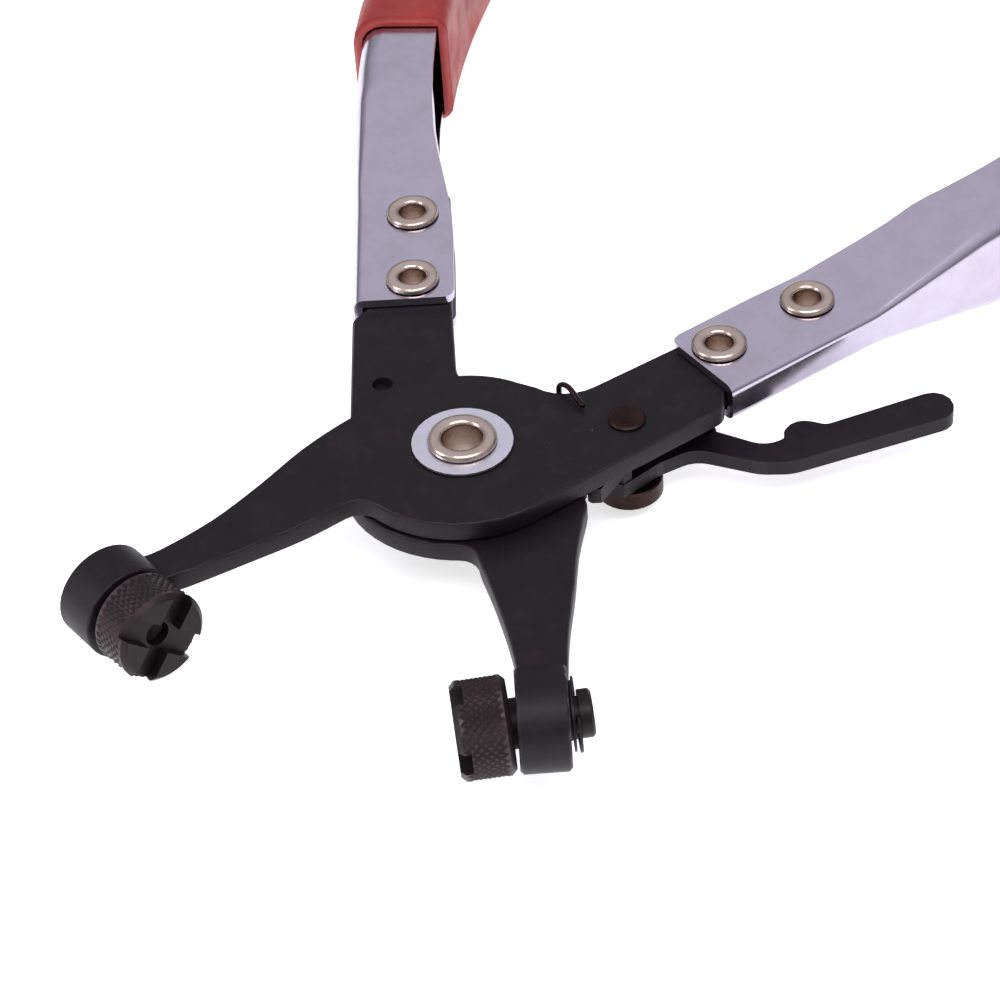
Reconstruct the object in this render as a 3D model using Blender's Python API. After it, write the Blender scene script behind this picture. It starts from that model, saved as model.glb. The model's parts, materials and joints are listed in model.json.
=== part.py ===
# Hose clamp pliers: two crossed steel arms with swivelling slotted heads, sheet metal handles
# with dipped grips, and a sprung lock lever. Metres, +Z up, lying flat and open.
# Each arm is drawn in its own flat frame: the pivot is its origin, +x runs along the handle,
# and +y is the side that faces the other handle.
import math

import bmesh
import bpy
from mathutils import Matrix, Vector

MM = 0.001

# Fits shared by the whole tool
SEAT_GAP = 0.25 * MM
PIN_PLAY = 0.3 * MM
OVERRUN = 2.0 * MM
SMALL_STEPS = 24
ROUND_STEPS = 32
FINE_STEPS = 40
SHARP_ANGLE = math.radians(32)
SOFT_ANGLE = math.radians(60)
EDGE_ANGLE = math.radians(50)

# Stamped arms
PLATE = 3.5 * MM
ARM_GAP = 0.3 * MM
ARM_EDGE = 0.35 * MM
UPPER_TURN = math.radians(32.7)
LOWER_TURN = math.radians(88.2)
INNER_DISC_STEP = 2.85 * MM
UPPER_DISC_R = 18.9 * MM
LOWER_DISC_R = 19.4 * MM
NECK_FILLET = 7.4 * MM
NECK_DISC_STEP = 2.3 * MM
NECK_BLEND = math.radians(10)
ROOT_FILLET = 3.5 * MM
ROOT_STEP = math.radians(3)
UPPER_INNER_Y = -1.6 * MM
LOWER_INNER_Y = -1.1 * MM
UPPER_OUTER_Y = -18.9 * MM
LOWER_OUTER_Y = -18.1 * MM
LOWER_SHIFT = 0.7 * MM
SHOULDER_X = 37.0 * MM
SHOULDER_R = 3.0 * MM
TONGUE_END_X = 71.0 * MM
TONGUE_CORNER = 2.0 * MM
OUTER_BLEND_R = 30.0 * MM

# Jaws: the middle of the jaw and its width at stations out from the pivot
JAW_X = (-20.0 * MM, -30.0 * MM, -40.0 * MM, -50.0 * MM)
JAW_WIDTH = (15.4 * MM, 12.4 * MM, 9.0 * MM, 7.0 * MM)
UPPER_JAW_MIDDLE = (7.6 * MM, 6.2 * MM, 5.6 * MM, 5.9 * MM)
LOWER_JAW_MIDDLE = (9.6 * MM, 10.1 * MM, 10.6 * MM, 11.1 * MM)
UPPER_JAW_ROOT = (-10.0 * MM, 16.8 * MM)
JAW_ROOT_ANGLE = math.radians(86)
JAW_INNER_ROOT_Y = 0.0 * MM
LOWER_JAW_SHOULDER = (-11.2 * MM, 18.9 * MM)
UPPER_EYE = (-59.4 * MM, 7.1 * MM)
LOWER_EYE = (-57.85 * MM, 10.8 * MM)
UPPER_EYE_TURN = math.radians(183.3)
LOWER_EYE_TURN = math.radians(178.5)
UPPER_TIP_HALVES = (2.8 * MM, 3.6 * MM)
LOWER_TIP_HALVES = (3.6 * MM, 3.2 * MM)

# Rolled eye at the end of each jaw
EYE_R = 7.8 * MM
EYE_BORE_R = 4.3 * MM
EYE_WIDTH = 7.6 * MM
EYE_EDGE = 0.5 * MM
EYE_SLIT = 0.45 * MM
EYE_ROOT_DIP = 0.05 * MM

# Pivot: hollow rivet on one washer
PIVOT_BORE_R = 3.15 * MM
PIVOT_SHANK_R = 3.9 * MM
PIVOT_FLANGE_R = 5.5 * MM
PIVOT_FLANGE = 1.1 * MM
WASHER_R = 8.0 * MM
WASHER = 0.35 * MM

# Pressed sheet handles
SHEET = 1.4 * MM
RIVET_LINE_Y = -8.0 * MM
HANDLE_FRONT_X = 39.6 * MM
HANDLE_LENGTH = 128.0 * MM
WEB_OUT = 9.9 * MM
FLANGE_IN_GRIP = 3.8 * MM
FRONT_CORNER = 1.8 * MM
FOLD_R_HEAD = 1.65 * MM
FOLD_R_GRIP = 4.0 * MM
FLARE_START = 67.5 * MM
FLARE_END = 95.0 * MM
FLARE_LOW_END = 101.0 * MM
FLARE_EDGE_LEAD = 4.5 * MM
FLARE_EASE_SHARE = 0.14
NARROW_START = 58.0 * MM
NARROW_END = 86.0 * MM
NARROW_EASE_SHARE = 0.3
GRIP_TOP = 8.6 * MM
GRIP_LOW = 10.2 * MM
BEND_START = 94.0 * MM
BEND_LENGTH = 50.0 * MM
BEND_ANGLE = math.radians(16.0)
FRONT_SHARES = (0.0, 0.12, 0.4, 1.0)
FLAT_SHARES = (0.3, 0.6)
FLARE_SHARES = (-0.16, -0.08, 0.0, 0.08, 0.16, 0.35, 0.55, 0.75, 0.86, 0.94, 1.0)
GRIP_SHARES = (0.0, 0.15, 0.3, 0.45, 0.57, 1.0)

# Handle eyelets
EYELET_X = 44.7 * MM
EYELET_PITCH = 18.1 * MM
EYELET_BORE_R = 2.2 * MM
EYELET_SHANK_R = 2.85 * MM
EYELET_FLANGE_R = 4.47 * MM
EYELET_FLANGE = 1.0 * MM
ROLL_PROFILE = ((0.25, 0.0), (0.0, 0.3), (0.16, 0.75), (0.5, 1.0))
ROLL_LIP = (0.5, 0.85)

# Grips
GRIP_WALL = 1.6 * MM
GRIP_FRONT = 112.0 * MM
GRIP_END_WALL = 3.0 * MM
GRIP_CORNER = 3.0 * MM
GRIP_ROUND = 0.8 * MM

# Swivelling jaw heads
HEAD_R = 7.4 * MM
HEAD_LENGTH = 8.2 * MM
HEAD_GAP = 0.9 * MM
HEAD_CHAMFER = 0.8 * MM
HEAD_SLOT = 3.9 * MM
HEAD_SLOT_DEPTH = 1.9 * MM
HEAD_HOLE_R = 2.0 * MM
HEAD_HOLE_DEPTH = 4.6 * MM
HEAD_SHANK_R = 3.75 * MM
TAIL_R = 3.6 * MM
TAIL_END = 7.25 * MM
TAIL_CHAMFER = 0.4 * MM
CLIP_PLACE = 4.7 * MM
CLIP = 0.4 * MM
CLIP_R = 5.6 * MM
CLIP_BAND = 1.3 * MM
CLIP_GROOVE_R = 2.7 * MM
CLIP_LUG = 1.3 * MM
CLIP_LUG_ROOT = 1.3
CLIP_MOUTH = math.radians(100.0)
HEAD_WASHER_R = 5.2 * MM
HEAD_WASHER = 0.3 * MM
UPPER_HEAD_YAW = math.radians(0.5)
UPPER_HEAD_RISE = math.radians(4.5)
UPPER_HEAD_SPIN = math.radians(47.0)
UPPER_CLIP_SPIN = math.radians(-90.0)
LOWER_HEAD_YAW = math.radians(4.0)
LOWER_HEAD_RISE = math.radians(-2.0)
LOWER_HEAD_SPIN = math.radians(1.0)
LOWER_CLIP_SPIN = math.radians(90.0)

# Ratchet on the edge of the lower arm
RATCHET_R = 20.0 * MM
RATCHET_DEPTH = 0.6 * MM
RATCHET_PITCH = math.radians(2.75)
RATCHET_TEETH = 20
RATCHET_FROM = math.radians(58.6)
RATCHET_STEP = math.radians(1.5)
RATCHET_LEAN = math.radians(25)
RATCHET_LAND = math.radians(0.25)

# Lock lever, in the upper arm's frame, from the centre of its rivet. Each corner is x, y, radius.
LEVER_RIVET_OUT = 3.4 * MM
LEVER_RIVET_Y = -11.6 * MM
LEVER_TOP = -8.3 * MM
LEVER = 2.7 * MM
LEVER_EDGE = 0.4 * MM
LEVER_CORNERS = (
    (-4.3 * MM, -4.5 * MM, 0.3 * MM), (3.3 * MM, -3.8 * MM, 6.0 * MM), (9.7 * MM, -4.6 * MM, 5.0 * MM),
    (15.6 * MM, -13.6 * MM, 8.0 * MM), (19.6 * MM, -16.8 * MM, 8.0 * MM), (46.9 * MM, -24.4 * MM, 3.0 * MM),
    (51.1 * MM, -18.4 * MM, 3.2 * MM), (29.6 * MM, -13.2 * MM, 2.0 * MM), (26.6 * MM, -8.6 * MM, 3.2 * MM),
    (23.0 * MM, -10.4 * MM, 1.4 * MM), (22.6 * MM, -11.6 * MM, 1.0 * MM), (18.9 * MM, -11.3 * MM, 4.5 * MM),
    (13.4 * MM, -0.4 * MM, 5.0 * MM), (8.4 * MM, 4.4 * MM, 4.4 * MM), (-7.0 * MM, 4.4 * MM, 1.5 * MM),
    (-8.2 * MM, 1.1 * MM, 0.8 * MM))

# Pawl on the lever: teeth that face the ratchet, a finger behind them, and a foot on the lever
PAWL_TEETH = 3
PAWL_END = math.radians(-55.0)
PAWL_TRAVEL = math.radians(4.2)
PAWL_CLEARANCE = 0.1 * MM
PAWL_BACK = 2.6 * MM
PAWL_FINGER = (
    (-4.2 * MM, -4.35 * MM), (-2.4 * MM, -4.1 * MM), (-3.3 * MM, -2.4 * MM), (-5.5 * MM, -2.1 * MM))
PAWL_LOW = -6.9 * MM
PAWL_SINK = 0.4 * MM
LEVER_RIVET_R = 2.4 * MM
LEVER_DISC_R = 5.4 * MM
LEVER_DISC = 3.4 * MM
LEVER_DISC_CHAMFER = 0.4 * MM
LEVER_PEEN_R = 3.0 * MM
LEVER_PEEN = 0.6 * MM
LEVER_PEEN_CHAMFER = 0.3 * MM

# Lever spring: wire, curls round the rivet, and the bends of its ends, from the rivet's centre
WIRE_R = 0.5 * MM
CURL_POINTS = 9
CURLS = 2
CURL_EXTRA = math.radians(95)
HOOK = (
    (-3.88 * MM, 6.0 * MM, 0.75 * MM), (-3.72 * MM, 7.8 * MM, 0.95 * MM), (-3.5 * MM, 9.6 * MM, 1.45 * MM),
    (-3.4 * MM, 10.9 * MM, 1.6 * MM), (-3.55 * MM, 12.1 * MM, 1.35 * MM), (-3.75 * MM, 12.8 * MM, 0.7 * MM),
    (-3.8 * MM, 12.9 * MM, -0.2 * MM), (-3.8 * MM, 12.9 * MM, -3.4 * MM))
HOOK_FOOT = ((-3.5 * MM, 12.4 * MM), (-2.6 * MM, 11.3 * MM), (-2.5 * MM, 10.2 * MM))
SPRING_LEG = ((14.0 * MM, -1.9 * MM), (15.0 * MM, -2.6 * MM), (15.1 * MM, -2.7 * MM))

# Dimple punched in the lower arm beside its handle
DIMPLE_X = 20.4 * MM
DIMPLE_Y = -13.0 * MM
DIMPLE_R = 1.7 * MM
DIMPLE_DEPTH = 1.2 * MM

# Sizes that follow from those above
LOWER_TOP = -PLATE - ARM_GAP
EYE_Z = -PLATE - ARM_GAP / 2
SHEET_HALF_HEAD = PLATE / 2 + SEAT_GAP + SHEET
TONGUE_OUTER_Y = RIVET_LINE_Y - WEB_OUT + SHEET + FOLD_R_HEAD - SHEET / 2 - SEAT_GAP
TONGUE_INSET = 2 * SEAT_GAP
RATCHET_TO = RATCHET_FROM + RATCHET_PITCH * RATCHET_TEETH
LEVER_RIVET_X = RATCHET_R + LEVER_RIVET_OUT
PAWL_OUTER_R = RATCHET_R + PAWL_BACK
INNER_DISC_R = RATCHET_R - INNER_DISC_STEP
NECK_DISC_R = RATCHET_R - NECK_DISC_STEP
PAWL_TOP = -PLATE - ARM_GAP * 2

BLACK_OXIDE = (0.020, 0.017, 0.019, 1.0)
KNURLED_STEEL = (0.045, 0.036, 0.036, 1.0)
PLATED_SHEET = (0.46, 0.44, 0.52, 1.0)
NICKEL = (0.56, 0.46, 0.36, 1.0)
ZINC = (0.60, 0.63, 0.72, 1.0)
BARE_RIVET = (0.20, 0.15, 0.13, 1.0)
SPRING_STEEL = (0.05, 0.045, 0.045, 1.0)
VINYL = (0.32, 0.02, 0.02, 1.0)


def clear_scene():
    for item in list(bpy.data.objects):
        bpy.data.objects.remove(item, do_unlink=True)


def material(name, colour, roughness, metallic):
    finish = bpy.data.materials.new(name)
    finish.use_nodes = True
    shader = finish.node_tree.nodes["Principled BSDF"]
    shader.inputs["Base Color"].default_value = colour
    shader.inputs["Roughness"].default_value = roughness
    shader.inputs["Metallic"].default_value = metallic
    return finish


def frame(name, parent=None, location=(0, 0, 0), rotation=None):
    empty = bpy.data.objects.new(name, None)
    bpy.context.collection.objects.link(empty)
    empty.parent = parent
    empty.matrix_basis = Matrix.Translation(location) @ (rotation or Matrix.Identity(4))
    return empty


def add_object(name, bm, parent, finish=None, sharp=SHARP_ANGLE):
    bmesh.ops.recalc_face_normals(bm, faces=bm.faces[:])
    mesh = bpy.data.meshes.new(name)
    bm.to_mesh(mesh)
    bm.free()
    mesh.shade_smooth()
    mesh.set_sharp_from_angle(angle=sharp)
    piece = bpy.data.objects.new(name, mesh)
    bpy.context.collection.objects.link(piece)
    piece.parent = parent
    if finish:
        mesh.materials.append(finish)
    return piece


def cutter(name, bm, parent):
    piece = add_object(name, bm, parent)
    piece.hide_render = True
    piece.display_type = "WIRE"
    return piece


def combine(piece, other, operation="DIFFERENCE"):
    step = piece.modifiers.new(other.name, "BOOLEAN")
    step.operation = operation
    step.object = other
    step.solver = "EXACT"


def bevel(piece, width, segments=1, angle=EDGE_ANGLE):
    step = piece.modifiers.new("edge", "BEVEL")
    step.width = width
    step.segments = segments
    step.limit_method = "ANGLE"
    step.angle_limit = angle
    step.use_clamp_overlap = True


def polar(radius, angle):
    return (radius * math.cos(angle), radius * math.sin(angle))


def arc(centre, radius, start, stop, steps):
    points = []
    for i in range(steps + 1):
        x, y = polar(radius, start + (stop - start) * i / steps)
        points.append((centre[0] + x, centre[1] + y))
    return points


def rounded(corners, steps=5):
    """Outline through corners (x, y, radius), each rounded by an arc of its radius."""
    points = []
    count = len(corners)
    for i, (x, y, radius) in enumerate(corners):
        here = Vector((x, y))
        if radius == 0:
            points.append((x, y))
            continue
        back = (Vector(corners[i - 1][:2]) - here).normalized()
        ahead = (Vector(corners[(i + 1) % count][:2]) - here).normalized()
        half = back.angle(ahead) / 2
        middle = here + (back + ahead).normalized() * radius / math.sin(half)
        first = here + back * radius / math.tan(half)
        last = here + ahead * radius / math.tan(half)
        a = math.atan2(first.y - middle.y, first.x - middle.x)
        b = math.atan2(last.y - middle.y, last.x - middle.x)
        turn = (b - a + math.pi) % (2 * math.pi) - math.pi
        points += arc(middle, radius, a, a + turn, steps)
    return points


def smooth_run(points, steps=4):
    """Smooth curve through the points, without its first and last ones."""
    run = []
    for i in range(1, len(points) - 2):
        p0, p1, p2, p3 = (Vector(points[i + k]) for k in (-1, 0, 1, 2))
        for k in range(steps):
            t = k / steps
            run.append(tuple(0.5 * (2 * p1 + (p2 - p0) * t + (2 * p0 - 5 * p1 + 4 * p2 - p3) * t ** 2
                                    + (3 * p1 - p0 - 3 * p2 + p3) * t ** 3)))
    run.append(tuple(points[-2]))
    return run


def slab(outline, low, high, side=1):
    bm = bmesh.new()
    face = bm.faces.new([bm.verts.new((x, y * side, low)) for x, y in outline])
    pulled = bmesh.ops.extrude_face_region(bm, geom=[face])
    rim = [v for v in pulled["geom"] if isinstance(v, bmesh.types.BMVert)]
    bmesh.ops.translate(bm, verts=rim, vec=(0, 0, high - low))
    return bm


def turned(profile, steps, closed=False):
    """Body turned about z from (radius, height) points, on a closed loop for a ring."""
    bm = bmesh.new()
    points = [bm.verts.new((r, 0, z)) for r, z in profile]
    pairs = list(zip(points, points[1:] + points[:1]))
    if not closed:
        pairs.pop()
    edges = [bm.edges.new(pair) for pair in pairs]
    bmesh.ops.spin(bm, geom=points + edges, axis=(0, 0, 1), cent=(0, 0, 0), dvec=(0, 0, 0),
                   angle=2 * math.pi, steps=steps, use_merge=True)
    bmesh.ops.remove_doubles(bm, verts=bm.verts[:], dist=SEAT_GAP / 100)
    return bm


def loft(rings):
    """Closed body through rings of points, with both ends capped."""
    bm = bmesh.new()
    loops = [[bm.verts.new(point) for point in ring] for ring in rings]
    for low, high in zip(loops, loops[1:]):
        for i in range(len(low)):
            j = (i + 1) % len(low)
            bm.faces.new((low[i], low[j], high[j], high[i]))
    bm.faces.new(loops[0][::-1])
    bm.faces.new(loops[-1])
    return bm


def rod(name, parent, place, radius, low, high, steps=ROUND_STEPS):
    bm = turned([(0, low), (radius, low), (radius, high), (0, high)], steps)
    bmesh.ops.translate(bm, verts=bm.verts[:], vec=(place[0], place[1], 0))
    return cutter(name, bm, parent)


def eye_frame(arm, eye, turn, side):
    """Frame at an eye: +x out along the jaw, +z along the pin towards the head."""
    out = Vector((math.cos(turn), math.sin(turn) * side, 0))
    across = Vector((-math.sin(turn), math.cos(turn) * side, 0))
    rotation = Matrix((out, across.cross(out), across)).transposed().to_4x4()
    return frame(arm.name + "_eye", arm, (eye[0], eye[1] * side, EYE_Z), rotation)


def eye_curl(plate_top, up):
    """Rolled strip of an eye: a tube whose free end stops just short of the plate's top."""
    low = plate_top - EYE_ROOT_DIP
    high = plate_top + EYE_SLIT
    turn = 2 * math.pi
    outer = arc((0, 0), EYE_R, math.asin(high / EYE_R), math.asin(low / EYE_R) + turn, FINE_STEPS)
    start, stop = math.asin(low / EYE_BORE_R) + turn, math.asin(high / EYE_BORE_R)
    inner = arc((0, 0), EYE_BORE_R, start, stop, FINE_STEPS)
    section = [(-x, y * up) for x, y in outer + inner]
    return slab(section, -EYE_WIDTH / 2, EYE_WIDTH / 2)


def arm_outline(arm):
    """Outline of an arm's blank, from the tongue in the handle round to the jaw and back."""
    shift, inner_y, outer_y, disc_r = arm["shift"], arm["inner_y"], arm["outer_y"], arm["disc_r"]
    end_x, front_x, tongue_y = TONGUE_END_X + shift, HANDLE_FRONT_X + shift, inner_y - TONGUE_INSET
    corners = [(end_x, TONGUE_OUTER_Y, TONGUE_CORNER), (end_x, tongue_y, TONGUE_CORNER)]
    corners.append((front_x, tongue_y, 0))
    fillet_y = inner_y + NECK_FILLET
    fillet_x = math.sqrt((NECK_DISC_R + NECK_FILLET) ** 2 - fillet_y ** 2)
    neck = math.atan2(fillet_y, fillet_x)
    points = arc((fillet_x, fillet_y), NECK_FILLET, -math.pi / 2, -math.pi + neck, 6)
    if arm["ratchet"]:
        points += arc((0, 0), INNER_DISC_R, neck + NECK_BLEND, RATCHET_FROM - RATCHET_STEP, 6)
        points += arc((0, 0), RATCHET_R, RATCHET_FROM, RATCHET_TO, 26)
    else:
        points += arc((0, 0), INNER_DISC_R, neck + NECK_BLEND, JAW_ROOT_ANGLE, 12)
    outer, inner, root_x, root_y = jaw_edges(arm, points[-1])
    points += smooth_run(outer)
    points += smooth_run(inner)
    root = math.atan2(root_y - ROOT_FILLET, root_x)
    points += arc((root_x, root_y - ROOT_FILLET), ROOT_FILLET, math.pi / 2, root + math.pi, 5)[1:]
    leave = math.acos(-outer_y / disc_r) / 2
    points += arc((0, 0), disc_r, root + ROOT_STEP, leave - math.pi / 2, 14)
    corners += [(x, y, 0) for x, y in points]
    if leave:
        x, y = points[-1]
        corners.append((x + (outer_y - y) / math.tan(leave), outer_y, OUTER_BLEND_R))
    corners.append((SHOULDER_X + shift, outer_y, SHOULDER_R))
    corners.append((front_x, TONGUE_OUTER_Y, 0))
    return rounded(corners)


def jaw_edges(arm, start):
    """Points along a jaw's outer edge and back along its inner edge, and the inner edge's root."""
    out = Vector((math.cos(arm["turn"]), math.sin(arm["turn"])))
    across = Vector((-out.y, out.x))
    outer = [start, arm["jaw_root"]]
    inner = []
    for x, middle, width in zip(JAW_X, arm["middles"], JAW_WIDTH):
        outer.append((x, middle + width / 2))
        inner.append((x, middle - width / 2))
    end = Vector(arm["eye"]) - out * (EYE_BORE_R + EYE_ROOT_DIP)
    outer_half, inner_half = arm["tip_halves"]
    outer_tip = end - across * outer_half
    inner_tip = end + across * inner_half
    outer += [tuple(outer_tip), tuple(outer_tip + out * EYE_R)]
    root_y = JAW_INNER_ROOT_Y + arm["middles"][0] - UPPER_JAW_MIDDLE[0]
    root_x = -math.sqrt((arm["disc_r"] + ROOT_FILLET) ** 2 - (root_y - ROOT_FILLET) ** 2)
    inner = [tuple(inner_tip + out * EYE_R), tuple(inner_tip)] + inner[::-1][:3]
    inner += [(root_x, root_y), (root_x + ROOT_FILLET, root_y)]
    return outer, inner, root_x, root_y


def build_arm(name, base, arm, finish):
    side, top = arm["side"], arm["top"]
    piece = add_object(name, slab(arm_outline(arm), top - PLATE, top, side), base, finish)
    bevel(piece, ARM_EDGE)
    eye_base = eye_frame(base, arm["eye"], arm["turn"], side)
    curl = cutter(name + "_eye_curl", eye_curl(top - EYE_Z, -side), eye_base)
    bevel(curl, EYE_EDGE)
    combine(piece, curl, "UNION")
    low, high = top - PLATE - OVERRUN, top + OVERRUN
    combine(piece, rod(name + "_pivot_hole", base, (0, 0), PIVOT_SHANK_R + PIN_PLAY, low, high))
    for i in range(2):
        place = (EYELET_X + arm["shift"] + EYELET_PITCH * i, RIVET_LINE_Y * side)
        combine(piece, rod(f"{name}_eyelet_hole_{i + 1}", base, place, EYELET_SHANK_R + PIN_PLAY, low, high))
    return piece, eye_base


def tooth_gap(steep, grow=0.0, out=OVERRUN):
    """Corners of one tooth gap, shrunk all round by a clearance: foot, steep flank, ramp."""
    foot_r = RATCHET_R - RATCHET_DEPTH + grow
    lean = math.tan(RATCHET_LEAN) / RATCHET_R
    ramp = RATCHET_PITCH - RATCHET_LAND - RATCHET_DEPTH * lean
    slope = ramp / RATCHET_DEPTH
    side = grow / RATCHET_R
    foot = polar(foot_r, steep + grow * lean - side)
    above = polar(RATCHET_R + out, steep + (RATCHET_DEPTH + out) * lean - side)
    shift = grow * math.hypot(1, slope * RATCHET_R) / RATCHET_R
    outer = polar(RATCHET_R + out, steep - (RATCHET_DEPTH + out) * slope + shift)
    return [foot, above, outer]


def ratchet_notches(arm, side):
    """Saw teeth on the lower arm's edge: the steep flank of each stops the jaws from opening."""
    bm = bmesh.new()
    low, high = LOWER_TOP - PLATE - OVERRUN, LOWER_TOP + OVERRUN
    for i in range(RATCHET_TEETH):
        corners = tooth_gap(RATCHET_FROM + RATCHET_PITCH * (i + 1) - RATCHET_LAND, out=RATCHET_DEPTH / 8)
        face = bm.faces.new([bm.verts.new((x, y * side, low)) for x, y in corners])
        pulled = bmesh.ops.extrude_face_region(bm, geom=[face])
        rim = [v for v in pulled["geom"] if isinstance(v, bmesh.types.BMVert)]
        bmesh.ops.translate(bm, verts=rim, vec=(0, 0, high - low))
    return cutter("ratchet_notches", bm, arm)


def eyelet_profile(bore, shank, flange, height, bottom, top):
    """Half section of a hollow rivet whose rolled ends stand on bottom and top."""
    upper = [(shank, top)]
    upper += [(flange - height * back, top + height * rise) for back, rise in ROLL_PROFILE]
    upper += [(bore + height * ROLL_LIP[0], top + height * ROLL_LIP[1]), (bore, top)]
    lower = [(r, bottom - (z - top)) for r, z in reversed(upper)]
    return upper + lower


def hollow_rivet(name, parent, place, sizes, bottom, top, finish, steps=ROUND_STEPS):
    bm = turned(eyelet_profile(*sizes, bottom, top), steps, closed=True)
    bmesh.ops.translate(bm, verts=bm.verts[:], vec=(place[0], place[1], 0))
    return add_object(name, bm, parent, finish, SOFT_ANGLE)


def ring(name, parent, inner, outer, low, high, finish):
    profile = [(inner, low), (outer, low), (outer, high), (inner, high)]
    return add_object(name, turned(profile, ROUND_STEPS, closed=True), parent, finish)


def handle_path(s):
    """Point of the rivet line at a length s from the pivot, and its heading."""
    bend = min(max((s - BEND_START) / BEND_LENGTH, 0), 1)
    heading = BEND_ANGLE * bend
    radius = BEND_LENGTH / BEND_ANGLE
    x = min(s, BEND_START) + radius * math.sin(heading)
    y = RIVET_LINE_Y + radius * (1 - math.cos(heading))
    rest = max(s - BEND_START - BEND_LENGTH, 0)
    return Vector((x + rest * math.cos(heading), y + rest * math.sin(heading))), heading


def eased(value, start, stop, ease=FLARE_EASE_SHARE):
    """Straight ramp from 0 to 1 with a short round at both ends."""
    t = min(max((value - start) / (stop - start), 0), 1)
    if t > 0.5:
        return 1 - eased(start + stop - value, start, stop, ease)
    if t < ease:
        return t * t / (2 * ease * (1 - ease))
    return (t - ease / 2) / (1 - ease)


def half_height(s, low=False):
    """Height of the channel above the arm's middle at a length s, or its depth below it."""
    grip, end = (GRIP_LOW, FLARE_LOW_END) if low else (GRIP_TOP, FLARE_END)
    return SHEET_HALF_HEAD + (grip - SHEET_HALF_HEAD) * eased(s, FLARE_START, end)


def flange_reach(s, head):
    """How far the flanges reach in from the rivet line, where they reach head over the eyelets."""
    reach = head - (head - FLANGE_IN_GRIP) * eased(s, NARROW_START, NARROW_END, NARROW_EASE_SHARE)
    near_front = HANDLE_FRONT_X + FRONT_CORNER - s
    if near_front > 0:
        reach -= FRONT_CORNER - math.sqrt(max(FRONT_CORNER ** 2 - near_front ** 2, 0))
    return reach


def placed(s, out, z, side):
    """World of the arm for a point at length s, out from the rivet line, at height z."""
    point, heading = handle_path(s)
    x = point.x + out * math.sin(heading)
    y = point.y - out * math.cos(heading)
    return (x, y * side, z)


def grip_stations():
    """Lengths along the handle, from the grip's front to the sheet's end."""
    run = HANDLE_FRONT_X + HANDLE_LENGTH - GRIP_FRONT
    return [GRIP_FRONT + run * share for share in GRIP_SHARES]


def fold_radius(s):
    return FOLD_R_HEAD + (FOLD_R_GRIP - FOLD_R_HEAD) * eased(s, FLARE_START, FLARE_END)


def handle_section(s, head, low):
    """Half of the channel's section: from the flange's edge over the rivet line round the fold."""
    half = half_height(s, low)
    fold = fold_radius(s)
    section = [(-flange_reach(s, head), half_height(s + FLARE_EDGE_LEAD, low))]
    section += [(0, half), (WEB_OUT - fold, half)]
    section += arc((WEB_OUT - fold, half - fold), fold, math.pi / 2, 0, 4)[1:]
    return section


def build_handle(name, base, side, middle, head, finish):
    flat = FLARE_START - HANDLE_FRONT_X
    stations = [HANDLE_FRONT_X + FRONT_CORNER * share for share in FRONT_SHARES]
    stations += [HANDLE_FRONT_X + flat * share for share in FLAT_SHARES]
    stations += [FLARE_START + (FLARE_END - FLARE_START) * share for share in FLARE_SHARES]
    stations += [FLARE_LOW_END, FLARE_LOW_END + FOLD_R_GRIP]
    stations += grip_stations()
    bm = bmesh.new()
    rows = []
    for s in stations:
        section = handle_section(s, head, False)
        section += [(u, -z) for u, z in reversed(handle_section(s, head, True))]
        rows.append([bm.verts.new(placed(s, u, middle + z, side)) for u, z in section])
    for row, ahead in zip(rows, rows[1:]):
        for i in range(len(row) - 1):
            bm.faces.new((row[i], row[i + 1], ahead[i + 1], ahead[i]))
    piece = add_object(name, bm, base, finish)
    mesh = piece.data
    centre = Vector(placed(EYELET_X, 0, middle + SHEET_HALF_HEAD, side))
    top = min(mesh.polygons, key=lambda face: (face.center - centre).length)
    if top.normal.z < 0:
        mesh.flip_normals()
    shell = piece.modifiers.new("sheet", "SOLIDIFY")
    shell.thickness = SHEET
    shell.offset = -1
    shell.use_even_offset = True
    low, high = middle - SHEET_HALF_HEAD - OVERRUN, middle + SHEET_HALF_HEAD + OVERRUN
    sizes = (EYELET_BORE_R, EYELET_SHANK_R, EYELET_FLANGE_R, EYELET_FLANGE)
    seat = SHEET_HALF_HEAD + SEAT_GAP
    for i in range(2):
        place = (EYELET_X + EYELET_PITCH * i, RIVET_LINE_Y * side)
        combine(piece, rod(f"{name}_hole_{i + 1}", base, place, EYELET_SHANK_R + PIN_PLAY, low, high))
        label = f"{name}_eyelet_{i + 1}"
        hollow_rivet(label, base, place, sizes, middle - seat, middle + seat, FINISH["nickel"], SMALL_STEPS)
    return piece


def grip_ring(s, grow, inner_r, middle, side, shrink=0.0):
    """Ring of points round the handle's section at a length s, grown by a wall."""
    top, foot = GRIP_TOP + grow - shrink, shrink - grow - GRIP_LOW
    low, high = shrink - FLANGE_IN_GRIP - grow, WEB_OUT + grow - shrink
    fold = fold_radius(s) + grow
    corners = [(low, foot, inner_r), (high, foot, fold), (high, top, fold), (low, top, inner_r)]
    return [placed(s, u, middle + z, side) for u, z in rounded(corners, 4)]


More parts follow.
